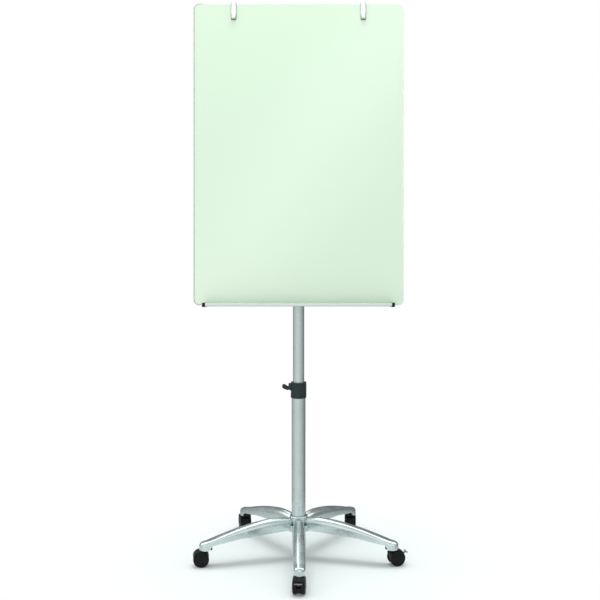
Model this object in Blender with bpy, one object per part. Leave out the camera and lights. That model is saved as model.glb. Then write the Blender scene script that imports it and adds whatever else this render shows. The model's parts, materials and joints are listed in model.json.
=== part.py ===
"""Mobile flip chart easel: a glass writing board on a telescoping post and a five-legged rolling base.

Metres, +Z up, the board's writing face towards -Y. The origin is on the floor, under the middle of the
bounding box. Every part is one closed body, and touching parts keep a gap of GAP.
"""

import math

import bmesh
import bpy
from mathutils import Matrix, Vector

# ---- driving dimensions -------------------------------------------------------------------------
GAP = 0.0003  # clearance between parts that touch

POST_X, POST_Y = -0.0056, 0.0334  # the post's axis, seen from the middle of the bounding box

BOARD_W, BOARD_H = 0.635, 0.914
BOARD_CORNER_R = 0.018
BOARD_TILT = math.radians(6.5)  # the board leans back by this
BOARD_FOOT_Y, BOARD_FOOT_Z = -0.100, 0.816  # bottom edge of its front face, from the post's axis
GLASS_T, GLASS_EDGE = 0.004, 0.0009
STEEL_T, STEEL_INSET = 0.001, 0.004
BOARD_BACK = GLASS_T + GAP + STEEL_T  # depth of the steel sheet's back

HOOK_X, HOOK_W = 0.196, 0.0175
HOOK_T, LINER_T = 0.0018, 0.0012
HOOK_FRONT, LINER_FRONT, HOOK_REAR = 0.0445, 0.0500, 0.030  # reach below the board's top edge
HOOK_CURL_R = 0.0048

TRAY_L, TRAY_DEPTH = 0.5650, 0.0610
TRAY_T, TRAY_SINK = 0.0018, 0.0030
TRAY_LIP_T, TRAY_LIP_TOP = 0.0055, 0.0067
TRAY_REAR_UP = 0.030
CAP_PLATE, CAP_RIM, CAP_WALL = 0.003, 0.0056, 0.0015
CAP_TOP = 0.0085

RAIL_L, RAIL_H, RAIL_DEPTH, RAIL_T = 0.500, 0.036, 0.012, 0.0015
RAIL_LEVELS = {"lower": 0.12, "middle": 0.44, "upper": 0.80}  # heights up the board

UPPER_R, UPPER_BORE = 0.0178, 0.0160
UPPER_LOW, UPPER_TOP = 0.245, 1.285
LOWER_R, LOWER_BORE = 0.0219, 0.0199
LOWER_LOW, LOWER_TOP = 0.092, 0.530
BUSH_FLANGE, BUSH_SPIGOT, BUSH_BORE = 0.025, 0.020, 0.010
TUBE_CAP_PLUG, TUBE_CAP_H = 0.012, 0.004
TUBE_PLUG_TOP = 0.112

SADDLE_R, SADDLE_H = 0.0238, 0.044
SADDLE_PLATE = (0.110, 0.004, 0.034)
SADDLE_RIB = 0.016
SCREW_R, SCREW_HEAD_R, SCREW_HEAD_H = 0.0025, 0.0055, 0.0035

COLLAR_R, COLLAR_LOW, COLLAR_TOP, COLLAR_ROUND = 0.0247, 0.512, 0.562, 0.004
LUG_REACH, LUG_HALF_W, LUG_LOW, LUG_TOP = 0.0316, 0.0100, 0.5345, 0.5570
PIVOT_X, PIVOT_Z = -0.0265, 0.5440  # the clamp lever's hinge
LEVER_HALF_W, LEVER_KNUCKLE = 0.0045, 0.0046
PIN_R = 0.0015
SHOE_LOW, SHOE_TOP = 0.5375, 0.5505  # the rubber shoe that the lever presses against the upper tube

STEM_CIRCLE_R = 0.3065  # the casters stand on this circle
STAR_TURN = 0.6  # the base stands turned a little under the board
LEG_NAMES = ("front", "right", "rear_right", "rear_left", "left")
LEG_ANGLES = {name: 72.0 * step - 90.0 for step, name in enumerate(LEG_NAMES)}
HUB_R, HUB_LOW, HUB_TOP = 0.029, 0.080, 0.132
HUB_WEB_R, HUB_WEB_LOW, HUB_WEB_TOP = 0.0380, 0.0855, 0.105
BOLT_R, BOLT_HEAD_R, BOLT_HEAD_H, BOLT_TOP = 0.0040, 0.0105, 0.0062, 0.1085
BOSS_R, BOSS_LOW, BOSS_START = 0.0183, 0.0520, 0.0115
LEG_WALL = 0.0032
SHOULDER, SQUARENESS = 0.48, 0.80  # where a leg's straight sides end, and how full its shoulders are
BOSS_SLOPE, TIP_ROUND = 0.245, 0.010  # the crown's fall past the last section, and its rounding at the tip
# distance from the post, crown height, lower edge, half width
LEG_SHAPE = (
    (0.018, 0.1230, 0.0870, 0.0150),
    (0.060, 0.1280, 0.0880, 0.0185),
    (0.100, 0.1275, 0.0865, 0.0206),
    (0.150, 0.1205, 0.0825, 0.0202),
    (0.200, 0.1095, 0.0790, 0.0196),
    (0.250, 0.0955, 0.0712, 0.0190),
    (0.286, 0.0840, 0.0662, 0.0184),
)

# the way each caster trails, in degrees from the star's +X
TRAIL_ANGLES = {"front": -96.0, "right": 17.0, "rear_right": 88.0, "rear_left": 103.0, "left": 186.0}
BRAKED = ("front", "right")
TRAIL, WHEEL_R = 0.0125, 0.0245
WHEEL_IN, WHEEL_OUT = 0.0070, 0.0195  # a wheel's inner and outer face, from the caster's middle plane
AXLE_R, STEM_R, STEM_TOP = 0.0030, 0.0040, 0.0650
HOOD_R, HOOD_IN_R, HOOD_HALF_W = 0.0270, 0.0252, 0.0180
HOOD_ENDS = {True: 40.0, False: 24.0}  # where the cover ends over a braked and an unbraked wheel, in degrees
HOOD_BACK = 152.0
WEB_HALF_W, WEB_R, WEB_NOTCH_R = 0.0066, 0.0215, 0.0120  # the web between the wheels, notched for a pedal
STEM_LOW, NECK_R, NECK_LOW = 0.0362, 0.0085, 0.0470  # the hood's neck surrounds the stem
PLUG_R, PLUG_TOP = 0.0146, 0.0665
LOBE_REACH, LOBE_HALF_W, LOBE_TOP = 0.0220, 0.0110, 0.0640  # the socket's lobe, towards the post
DISC_T = 0.0022  # a wheel's closed outer face
PEDAL_R, PEDAL_AT, PEDAL_TILT = 0.0157, 22.8, 29.8  # hinge's distance and angle, and the pad's slope
PEDAL_KNUCKLE, PEDAL_PAD = 0.0024, (0.0040, 0.0240, 0.0028)  # the pad's length, width and thickness
PEDAL_NECK, PEDAL_ARM_HALF_W = 0.0180, 0.0035  # from the hinge to the pad, and the arm's half width

ROUND = 36  # segments of a large round part
WHEEL_ROUND = 28
SMALL_ROUND = 14

Y_AXIS = Matrix.Rotation(math.radians(-90.0), 4, "X")  # turns +Z to +Y


# ---- scene helpers ------------------------------------------------------------------------------
def clear_scene():
    for thing in list(bpy.data.objects):
        bpy.data.objects.remove(thing, do_unlink=True)


def material(name, colour, roughness, metallic=0.0, see_through=0.0):
    made = bpy.data.materials.new(name)
    made.use_nodes = True
    shader = made.node_tree.nodes["Principled BSDF"]
    shader.inputs["Base Color"].default_value = (*colour, 1.0)
    shader.inputs["Roughness"].default_value = roughness
    shader.inputs["Metallic"].default_value = metallic
    shader.inputs["Transmission Weight"].default_value = see_through
    made.diffuse_color = (*colour, 1.0)
    return made


def empty(name, at, turn=(0.0, 0.0, 0.0), parent=None):
    made = bpy.data.objects.new(name, None)
    bpy.context.scene.collection.objects.link(made)
    made.location, made.rotation_euler, made.parent = at, turn, parent
    return made


def shape(verts, faces, place=None, flat=False):
    """A mesh object from vertices and faces, its normals outward. flat splits faces into triangles."""
    mesh = bpy.data.meshes.new("shape")
    mesh.from_pydata([tuple(v) for v in verts], [], faces)
    work = bmesh.new()
    work.from_mesh(mesh)
    bmesh.ops.remove_doubles(work, verts=work.verts, dist=1e-6)
    bmesh.ops.recalc_face_normals(work, faces=work.faces)
    if flat:
        bmesh.ops.triangulate(work, faces=work.faces)
    work.to_mesh(mesh)
    work.free()
    if place is not None:
        mesh.transform(place)
    made = bpy.data.objects.new("shape", mesh)
    bpy.context.scene.collection.objects.link(made)
    return made


def lathe(profile, segments, place=None):
    """A solid turned about Z from (radius, height) points: a closed loop, or a line from axis to axis."""
    verts, rows = [], []
    for radius, height in profile:
        if radius < 1e-7:
            rows.append([len(verts)] * segments)
            verts.append((0.0, 0.0, height))
            continue
        rows.append(list(range(len(verts), len(verts) + segments)))
        for step in range(segments):
            angle = 2.0 * math.pi * step / segments
            verts.append((radius * math.cos(angle), radius * math.sin(angle), height))
    pairs = list(zip(rows, rows[1:]))
    if profile[0][0] > 1e-7:
        pairs.append((rows[-1], rows[0]))
    faces = []
    for low, high in pairs:
        for step in range(segments):
            after = (step + 1) % segments
            corners = (low[step], low[after], high[after], high[step])
            face = [c for at, c in enumerate(corners) if c not in corners[:at]]
            if len(face) > 2:
                faces.append(face)
    return shape(verts, faces, place)


def ring(outer, inner, low, high, segments, place=None):
    return lathe([(outer, low), (outer, high), (inner, high), (inner, low)], segments, place)


def rod(radius, low, high, segments, place=None):
    return lathe([(0.0, low), (radius, low), (radius, high), (0.0, high)], segments, place)


def loft(loops, place=None, flat=False):
    """A closed body through loops of equally many points, its ends flat."""
    count = len(loops[0])
    verts = [point for loop in loops for point in loop]
    faces = [list(range(count)), list(range(len(verts) - count, len(verts)))]
    for row in range(len(loops) - 1):
        for step in range(count):
            after = (step + 1) % count
            low, high = row * count, (row + 1) * count
            faces.append([low + step, low + after, high + after, high + step])
    return shape(verts, faces, place, flat)


def prism_x(outline, half):
    """An outline of (y, z) points drawn out along X, to half on either side."""
    return loft([[(x, y, z) for y, z in outline] for x in (-half, half)])


def prism_y(outline, half):
    """An outline of (x, z) points drawn out along Y, to half on either side."""
    return loft([[(x, y, z) for x, z in outline] for y in (-half, half)])


def block(low, high, place=None):
    corners = [(low[0], low[1]), (high[0], low[1]), (high[0], high[1]), (low[0], high[1])]
    return loft([[(x, y, z) for x, y in corners] for z in (low[2], high[2])], place)


def arc(centre, radius, start, end, steps):
    """Points of an arc in a plane, its angles in degrees."""
    found = []
    for step in range(steps + 1):
        angle = math.radians(start + (end - start) * step / steps)
        found.append((centre[0] + radius * math.cos(angle), centre[1] + radius * math.sin(angle)))
    return found


def rounded_sheet(width, height, corner, levels, steps=6):
    """A sheet with round corners, standing on z = 0. levels holds (depth y, inset) from front to back."""
    loops = []
    for depth, inset in levels:
        radius, half = corner - inset, width / 2 - corner
        outline = []
        for x, z, start in (
            (half, corner, -90.0),
            (half, height - corner, 0.0),
            (-half, height - corner, 90.0),
            (-half, corner, 180.0),
        ):
            outline += arc((x, z), radius, start, start + 90.0, steps)
        loops.append([(x, depth, z) for x, z in outline])
    return loft(loops)


def combine(target, tool, operation):
    """Changes target by tool, exactly, and takes the tool away."""
    change = target.modifiers.new("change", "BOOLEAN")
    change.object, change.operation, change.solver = tool, operation, "EXACT"
    found = target.evaluated_get(bpy.context.evaluated_depsgraph_get())
    mesh = bpy.data.meshes.new_from_object(found)
    target.modifiers.clear()
    target.data = mesh
    bpy.data.objects.remove(tool, do_unlink=True)
    return target


def join(target, *tools):
    for tool in tools:
        combine(target, tool, "UNION")
    return target


def cut(target, *tools):
    for tool in tools:
        combine(target, tool, "DIFFERENCE")
    return target


def part(name, made, finish, parent, at=(0.0, 0.0, 0.0), turn=(0.0, 0.0, 0.0), sharp=32.0):
    """Names a finished body, gives it its material and puts it in its place."""
    work = bmesh.new()
    work.from_mesh(made.data)
    bmesh.ops.remove_doubles(work, verts=work.verts, dist=2e-6)
    bmesh.ops.dissolve_limit(
        work, angle_limit=math.radians(0.5), verts=work.verts, edges=work.edges, use_dissolve_boundaries=False
    )
    bmesh.ops.holes_fill(work, edges=[edge for edge in work.edges if edge.is_boundary], sides=4)
    bmesh.ops.recalc_face_normals(work, faces=work.faces)
    work.to_mesh(made.data)
    work.free()
    made.data.shade_smooth()
    made.data.set_sharp_from_angle(angle=math.radians(sharp))
    made.data.materials.clear()
    made.data.materials.append(finish)
    made.name = made.data.name = name
    made.location, made.rotation_euler, made.parent = at, turn, parent
    return made


# ---- board, hooks and tray ----------------------------------------------------------------------
def build_board(board, finish):
    glass = rounded_sheet(
        BOARD_W,
        BOARD_H,
        BOARD_CORNER_R,
        ((0.0, GLASS_EDGE), (GLASS_EDGE, 0.0), (GLASS_T - GLASS_EDGE, 0.0), (GLASS_T, GLASS_EDGE)),
    )
    part("glass_panel", glass, finish["glass"], board)
    steel = rounded_sheet(
        BOARD_W - 2 * STEEL_INSET,
        BOARD_H - 2 * STEEL_INSET,
        BOARD_CORNER_R - STEEL_INSET,
        ((GLASS_T + GAP, 0.0), (BOARD_BACK, 0.0)),
    )
    part("steel_back", steel, finish["white"], board, at=(0.0, 0.0, STEEL_INSET))


def strap(front, rear, gap, thickness, front_reach, rear_reach, curl):
    """Outline of a strap folded over the board's top edge, as (y, z) from that edge."""
    outer = gap + thickness
    line = [(rear + outer, -rear_reach), (rear + outer, outer), (front - outer, outer)]
    back = [(rear + gap, -rear_reach), (rear + gap, gap), (front - gap, gap)]
    if curl:
        centre = (front - outer - curl + thickness, -front_reach)
        line += arc(centre, curl - thickness, 0.0, -180.0, 8)
        back += arc(centre, curl, 0.0, -180.0, 8)
        tip = -front_reach + curl
        line.append((line[-1][0], tip))
        back.append((back[-1][0], tip))
    else:
        line.append((front - outer, -front_reach))
        back.append((front - gap, -front_reach))
    return line + back[::-1]


def build_hooks(board, finish):
    for side, sign in (("left", -1.0), ("right", 1.0)):
        slider = empty(f"{side}_hook_slide", (sign * HOOK_X, 0.0, BOARD_H), parent=board)
        liner = strap(0.0, BOARD_BACK, GAP, LINER_T, LINER_FRONT, HOOK_REAR, 0.0)
        part(f"hook_liner_{side}", prism_x(liner, HOOK_W / 2 - 0.001), finish["rubber"], slider)
        metal = strap(0.0, BOARD_BACK, LINER_T + 2 * GAP, HOOK_T, HOOK_FRONT, HOOK_REAR, HOOK_CURL_R)
        part(f"hook_{side}", prism_x(metal, HOOK_W / 2), finish["chrome"], slider)


def build_tray(board, finish):
    front, floor = -TRAY_DEPTH, -TRAY_SINK
    lip = front + TRAY_LIP_T
    rear_in = BOARD_BACK + 2 * GAP
    nose = TRAY_LIP_T / 2
    outline = [(rear_in + TRAY_T, floor), (rear_in + TRAY_T, TRAY_REAR_UP), (rear_in, TRAY_REAR_UP)]
    outline += [(rear_in, floor + TRAY_T), (lip, floor + TRAY_T)]
    outline += arc((front + nose, TRAY_LIP_TOP - nose), nose, 0.0, 180.0, 8)
    outline += arc((front + nose, floor + nose), nose, 180.0, 270.0, 4)
    part("marker_tray", prism_x(outline, TRAY_L / 2), finish["aluminium"], board)
    low, back = floor - CAP_WALL - GAP, -2 * GAP
    face = front - CAP_WALL - GAP
    soft = 0.003
    end = [(back, low), (back, CAP_TOP - soft), (back - soft, CAP_TOP), (face + soft, CAP_TOP)]
    end += [(face, CAP_TOP - soft), (face, low + soft), (face + soft, low)]
    for side, sign in (("left", -1.0), ("right", 1.0)):
        cap = prism_x(end, (CAP_PLATE + CAP_RIM) / 2)
        reach = (CAP_PLATE + CAP_RIM) / 2
        inside = sorted((-sign * (reach + 0.01), sign * (reach - CAP_PLATE)))
        room = block((inside[0], front - GAP, floor - GAP), (inside[1], 0.05, 0.05))
        cut(cap, room)
        middle = TRAY_L / 2 + GAP + CAP_PLATE - reach
        part(f"tray_cap_{side}", cap, finish["black"], board, at=(sign * middle, 0.0, 0.0))


def build_rails(board, finish):
    front, back = BOARD_BACK + GAP, BOARD_BACK + GAP + RAIL_DEPTH
    half = RAIL_H / 2
    outline = [(front, -half), (back, -half), (back, half), (front, half)]
    outline += [(front, half - RAIL_T), (back - RAIL_T, half - RAIL_T)]
    outline += [(back - RAIL_T, RAIL_T - half), (front, RAIL_T - half)]
    for level, height in RAIL_LEVELS.items():
        rail = prism_x(outline, RAIL_L / 2)
        part(f"rail_{level}", rail, finish["white"], board, at=(0.0, 0.0, height))


# ---- post ---------------------------------------------------------------------------------------
def build_mast(mast, finish):
    tube = ring(UPPER_R, UPPER_BORE, UPPER_LOW, UPPER_TOP, ROUND)
    part("upper_tube", tube, finish["satin"], mast)
    fit = UPPER_BORE - GAP
    top = UPPER_TOP + GAP
    half_h = TUBE_CAP_H / 2
    cap = [(0.0, top - TUBE_CAP_PLUG), (fit, top - TUBE_CAP_PLUG), (fit, top), (UPPER_R, top)]
    cap += [(UPPER_R, top + half_h), (UPPER_R - half_h, top + TUBE_CAP_H), (0.0, top + TUBE_CAP_H)]
    part("tube_cap", lathe(cap, ROUND), finish["black"], mast)
    low = UPPER_LOW - GAP
    bush = [(BUSH_BORE, low - BUSH_FLANGE), (LOWER_BORE - GAP, low - BUSH_FLANGE), (LOWER_BORE - GAP, low)]
    bush += [(fit, low), (fit, low + BUSH_SPIGOT), (BUSH_BORE, low + BUSH_SPIGOT)]
    part("guide_bush", lathe(bush, ROUND), finish["black"], mast)

    plate_w, plate_t, plate_h = SADDLE_PLATE
    for level in ("lower", "middle"):
        height = RAIL_LEVELS[level]
        lean = Matrix.Rotation(-BOARD_TILT, 4, "X")
        depth = BOARD_BACK + 2 * GAP + RAIL_DEPTH
        seat = Vector((0.0, BOARD_FOOT_Y, BOARD_FOOT_Z)) + lean @ Vector((0.0, depth, height))
        half = Vector((plate_w / 2, plate_t, plate_h / 2))
        plate = block((-half.x, 0.0, -half.z), (half.x, half.y, half.z), Matrix.Translation(seat) @ lean)
        low, high = seat.z - SADDLE_H / 2, seat.z + SADDLE_H / 2
        sleeve = rod(SADDLE_R, low, high, ROUND)
        inset = 0.006
        rib_front, rib_back = seat.y + plate_t / 2, -GAP
        rib = block((-SADDLE_RIB / 2, rib_front, low + inset), (SADDLE_RIB / 2, rib_back, high - inset))
        bore = rod(UPPER_R + GAP, low - 0.01, high + 0.01, ROUND)
        level_z = Matrix.Translation((0.0, 0.0, seat.z))
        screw_hole = rod(SCREW_R + GAP, 0.005, 0.05, SMALL_ROUND, level_z @ Y_AXIS)
        saddle = cut(join(sleeve, plate, rib), bore, screw_hole)
        part(f"saddle_{level}", saddle, finish["grey"], mast)
        head = SADDLE_R + GAP
        screw = [(0.0, UPPER_R + GAP), (SCREW_R, UPPER_R + GAP), (SCREW_R, head), (SCREW_HEAD_R, head)]
        screw += [(SCREW_HEAD_R, head + 0.6 * SCREW_HEAD_H), (0.6 * SCREW_HEAD_R, head + SCREW_HEAD_H)]
        screw.append((0.0, head + SCREW_HEAD_H))
        part(f"saddle_screw_{level}", lathe(screw, SMALL_ROUND, level_z @ Y_AXIS), finish["steel"], mast)


def build_clamp(post, finish):
    bore, step = UPPER_R + GAP, LOWER_R + GAP
    outline = [(bore, COLLAR_TOP), (bore, LOWER_TOP + GAP), (step, LOWER_TOP + GAP), (step, COLLAR_LOW)]
    round_at = (COLLAR_R - COLLAR_ROUND / 2, COLLAR_LOW + COLLAR_ROUND / 2)
    outline += arc(round_at, COLLAR_ROUND / 2, -90.0, 0.0, 4)
    bevel = COLLAR_ROUND / 3
    outline += [(COLLAR_R, COLLAR_TOP - bevel), (COLLAR_R - bevel, COLLAR_TOP)]
    collar = lathe(outline, ROUND)
    lug = block((-LUG_REACH, -LUG_HALF_W, LUG_LOW), (-LOWER_R, LUG_HALF_W, LUG_TOP))
    window_half = LEVER_HALF_W + GAP
    window = block((-0.05, -window_half, LUG_LOW - 0.01), (-LOWER_R, window_half, COLLAR_TOP + 0.01))
    port = block((-0.03, -window_half, SHOE_LOW - GAP), (0.0, window_half, SHOE_TOP + GAP))
    hole = rod(PIN_R + GAP, -0.02, 0.02, SMALL_ROUND, Matrix.Translation((PIVOT_X, 0.0, PIVOT_Z)) @ Y_AXIS)
    bore_again = rod(bore, LOWER_TOP, COLLAR_TOP + 0.01, ROUND)
    join(collar, lug)
    cut(collar, window, port, bore_again, hole)
    part("clamp_collar", collar, finish["black"], post)

    shoe_face = PIVOT_X + LEVER_KNUCKLE + GAP
    shoe = block((shoe_face, -LEVER_HALF_W, SHOE_LOW), (-bore / 2, LEVER_HALF_W, SHOE_TOP))
    cut(shoe, rod(bore, LOWER_TOP, COLLAR_TOP, ROUND))
    part("clamp_shoe", shoe, finish["rubber"], post)

    pin = rod(PIN_R, -LUG_HALF_W + GAP, LUG_HALF_W - GAP, SMALL_ROUND, Y_AXIS)
    part("clamp_pin", pin, finish["steel"], post, at=(PIVOT_X, 0.0, PIVOT_Z))

    knuckle = arc((0.0, 0.0), LEVER_KNUCKLE, -90.0, 90.0, 8)
    arm = [(-0.0080, 0.0048), (-0.0179, 0.0113), (-0.0240, 0.0100), (-0.0251, 0.0080)]
    arm += [(-0.0251, 0.0005), (-0.0235, -0.0020), (-0.0200, -0.0032), (-0.0075, -0.0078)]
    lever = prism_y(knuckle + arm, LEVER_HALF_W)
    cut(lever, rod(PIN_R + GAP, -0.02, 0.02, SMALL_ROUND, Y_AXIS))
    part("clamp_lever", lever, finish["black"], post, at=(PIVOT_X, 0.0, PIVOT_Z))


def build_post(post, finish):
    part("lower_tube", ring(LOWER_R, LOWER_BORE, LOWER_LOW, LOWER_TOP, ROUND), finish["satin"], post)
    plug = ring(LOWER_BORE - GAP, BOLT_R + GAP, LOWER_LOW + GAP, TUBE_PLUG_TOP, ROUND)
    part("tube_plug", plug, finish["steel"], post)
    seat = HUB_LOW - GAP
    low, soft = seat - BOLT_HEAD_H, BOLT_HEAD_H / 4
    bolt = [(0.0, low), (BOLT_HEAD_R - soft, low), (BOLT_HEAD_R, low + soft), (BOLT_HEAD_R, seat)]
    bolt += [(BOLT_R, seat), (BOLT_R, BOLT_TOP), (0.0, BOLT_TOP)]
    part("hub_bolt", lathe(bolt, SMALL_ROUND), finish["steel"], post)


# ---- base ---------------------------------------------------------------------------------------
def leg_shape(distance):
    """Crown height, lower edge and half width of a leg at a distance from the post."""
    rows = LEG_SHAPE
    at = min(max(1, sum(row[0] < distance for row in rows)), len(rows) - 1)
    low, high = rows[at - 1], rows[at]
    share = (distance - low[0]) / (high[0] - low[0])
    found = []
    for column in (1, 2, 3):
        before = rows[max(at - 2, 0)]
        after = rows[min(at + 1, len(rows) - 1)]
        span = high[0] - low[0]
        slope_in = (high[column] - before[column]) / (high[0] - before[0]) * span
        slope_out = (after[column] - low[column]) / (after[0] - low[0]) * span
        s2, s3 = share**2, share**3
        value = (2 * s3 - 3 * s2 + 1) * low[column] + (s3 - 2 * s2 + share) * slope_in
        value += (3 * s2 - 2 * s3) * high[column] + (s3 - s2) * slope_out
        found.append(value)
    return found


def leg_section(distance, crown, low, half, steps=8):
    """A section across a leg: straight sides below, round shoulders and a gently arched crown above."""
    side = low + (crown - low) * SHOULDER
    points = [(half, low)]
    for step in range(steps + 1):
        angle = math.pi * step / steps
        across, up = math.cos(angle), math.sin(angle)
        across = math.copysign(abs(across) ** SQUARENESS, across)
        points.append((half * across, side + (crown - side) * up**SQUARENESS))
    points.append((-half, low))
    return [(distance, y, z) for y, z in points]


def leg_loops(shrink, drop, low_extra, start, reach):
    """Sections from the hub to the rounded tip, shrunk all round for the hollow beneath."""
    loops = []
    last = LEG_SHAPE[-1][0]
    for distance in (start, 0.06, 0.09, 0.12, 0.15, 0.18, 0.21, 0.24, 0.265, last):
        crown, low, half = leg_shape(distance)
        loops.append(leg_section(distance, crown - drop, low - low_extra, half - shrink))
    crown, low, half = leg_shape(last)
    boss_low = BOSS_LOW - low_extra
    for distance in (last + BOSS_START, STEM_CIRCLE_R):
        fall = BOSS_SLOPE * (distance - last)
        loops.append(leg_section(distance, crown - fall - drop, boss_low, reach))
    for share in (0.30, 0.55, 0.75, 0.90, 0.97):
        past = max(0.0, reach * (share - 1.0) + TIP_ROUND)
        fall = BOSS_SLOPE * (STEM_CIRCLE_R + reach * share - last)
        fall += TIP_ROUND - math.sqrt(TIP_ROUND**2 - past**2)
        width = reach * math.sqrt(1.0 - share**2)
        loops.append(leg_section(STEM_CIRCLE_R + reach * share, crown - fall - drop, boss_low, width))
    return loops


def build_base(base, finish):
    hub = [(0.0, HUB_LOW), (HUB_R - 0.002, HUB_LOW), (HUB_R, HUB_LOW + 0.002)]
    hub += [(HUB_R, HUB_TOP - 0.004), (HUB_R - 0.0025, HUB_TOP), (0.0, HUB_TOP)]
    askew = Matrix.Rotation(math.radians(3.3), 4, "Z")  # keeps the hub's facets off the legs' edges
    star = join(lathe(hub, ROUND, askew), rod(HUB_WEB_R, HUB_WEB_LOW, HUB_WEB_TOP, ROUND, askew))
    for degrees in LEG_ANGLES.values():
        turn = Matrix.Rotation(math.radians(degrees), 4, "Z")
        join(star, loft(leg_loops(0.0, 0.0, 0.0, 0.014, BOSS_R), turn, flat=True))
    for degrees in LEG_ANGLES.values():
        turn = Matrix.Rotation(math.radians(degrees), 4, "Z")
        hollow = leg_loops(LEG_WALL, LEG_WALL, 0.02, 0.040, BOSS_R - LEG_WALL)
        cut(star, loft(hollow, turn, flat=True))
        seat = turn @ Matrix.Translation((STEM_CIRCLE_R, 0.0, 0.0))
        cut(star, rod(PLUG_R + GAP, 0.0, PLUG_TOP + GAP, ROUND, seat))
    cut(
        star,
        rod(LOWER_R + GAP, LOWER_LOW - GAP, HUB_TOP + 0.02, ROUND),
        rod(BOLT_R + GAP, HUB_LOW - 0.02, HUB_TOP, SMALL_ROUND),
    )
    part("star_base", star, finish["cast"], base, sharp=40.0)


# ---- casters ------------------------------------------------------------------------------------
def build_hood(braked):
    centre = (TRAIL, WHEEL_R)
    first, last = HOOD_ENDS[braked], HOOD_BACK
    cover = arc(centre, HOOD_R, first, last, 9) + arc(centre, HOOD_IN_R, last, first, 9)
    hood = prism_y(cover, HOOD_HALF_W)
    web = arc(centre, HOOD_R - 0.0008, 62.0, 150.0, 6) + arc(centre, WEB_R, 180.0, 355.0, 12)
    join(hood, prism_y(web + arc(centre, WEB_NOTCH_R, 5.0, 45.0, 3), WEB_HALF_W))
    join(hood, rod(NECK_R, NECK_LOW, BOSS_LOW - 2 * GAP, SMALL_ROUND + 10))
    axle = Matrix.Translation((TRAIL, 0.0, WHEEL_R)) @ Y_AXIS
    for inner in (-1.0, 1.0):
        low, high = sorted((inner * WEB_HALF_W, inner * 0.03))
        cut(hood, rod(HOOD_IN_R, low, high, WHEEL_ROUND, axle))
    axle_room = rod(AXLE_R + GAP, -0.03, 0.03, SMALL_ROUND, axle)
    stem_room = rod(STEM_R + GAP, STEM_LOW - GAP, STEM_TOP, SMALL_ROUND)
    return cut(hood, axle_room, stem_room)


def build_wheel(sign):
    """One wheel about Y: a hollow bore inside, a domed closed face outside."""
    bore, bore_end = AXLE_R + GAP, WHEEL_OUT - DISC_T
    profile = [(0.0, bore_end), (bore, bore_end), (bore, WHEEL_IN), (WHEEL_R - 0.0020, WHEEL_IN)]
    profile += [(WHEEL_R, WHEEL_IN + 0.0015), (WHEEL_R, WHEEL_OUT - 0.0034)]
    profile += [(WHEEL_R - 0.0012, WHEEL_OUT - 0.0014), (WHEEL_R - 0.0040, WHEEL_OUT - 0.0006)]
    profile.append((0.0, WHEEL_OUT))
    return lathe([(r, sign * y) for r, y in profile], WHEEL_ROUND, Y_AXIS)


def build_pedal():
    """A brake pedal about its hinge: a knuckle between the wheels and a pad above the tread."""
    length, width, thickness = PEDAL_PAD
    root, tip = PEDAL_NECK + thickness / 2, PEDAL_NECK + length
    outline = arc((0.0, 0.0), PEDAL_KNUCKLE, 110.0, 290.0, 6)
    tongue = prism_y(outline + [(root, -thickness / 3), (root, thickness / 3)], PEDAL_ARM_HALF_W)
    pad = block((PEDAL_NECK, -width / 2, -thickness / 2), (tip, width / 2, thickness / 2))
    return join(tongue, pad)


def build_caster(name, base, finish):
    angle = math.radians(LEG_ANGLES[name])
    at = (STEM_CIRCLE_R * math.cos(angle), STEM_CIRCLE_R * math.sin(angle), 0.0)
    swivel = empty(f"{name}_swivel", at, (0.0, 0.0, math.radians(TRAIL_ANGLES[name])), base)

    plug = rod(PLUG_R, BOSS_LOW + GAP, PLUG_TOP, WHEEL_ROUND)
    lobe_low = (-LOBE_REACH, -LOBE_HALF_W, BOSS_LOW + GAP)
    lobe = block(lobe_low, (-PLUG_R / 2, LOBE_HALF_W, LOBE_TOP))
    join(plug, lobe)
    cut(plug, rod(STEM_R + GAP, 0.0, STEM_TOP + 2 * GAP, SMALL_ROUND))
    part(f"caster_{name}_socket", plug, finish["black"], base, at=at, turn=(0.0, 0.0, angle))

    braked = name in BRAKED
    part(f"caster_{name}_hood", build_hood(braked), finish["black"], swivel)
    stem = rod(STEM_R, STEM_LOW, STEM_TOP, SMALL_ROUND)
    part(f"caster_{name}_stem", stem, finish["steel"], swivel)
    hub = (TRAIL, 0.0, WHEEL_R)
    reach = WHEEL_OUT - DISC_T - GAP
    axle = rod(AXLE_R, -reach, reach, SMALL_ROUND, Y_AXIS)
    part(f"caster_{name}_axle", axle, finish["steel"], swivel, at=hub)
    for side, sign in (("a", -1.0), ("b", 1.0)):
        part(f"caster_{name}_wheel_{side}", build_wheel(sign), finish["tyre"], swivel, at=hub)
    if braked:
        hinge = math.radians(PEDAL_AT)
        spot = (TRAIL + PEDAL_R * math.cos(hinge), 0.0, WHEEL_R + PEDAL_R * math.sin(hinge))
        pedal = part(f"caster_{name}_pedal", build_pedal(), finish["black"], swivel, at=spot)
        pedal.rotation_euler = (0.0, -math.radians(PEDAL_TILT), 0.0)


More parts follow.
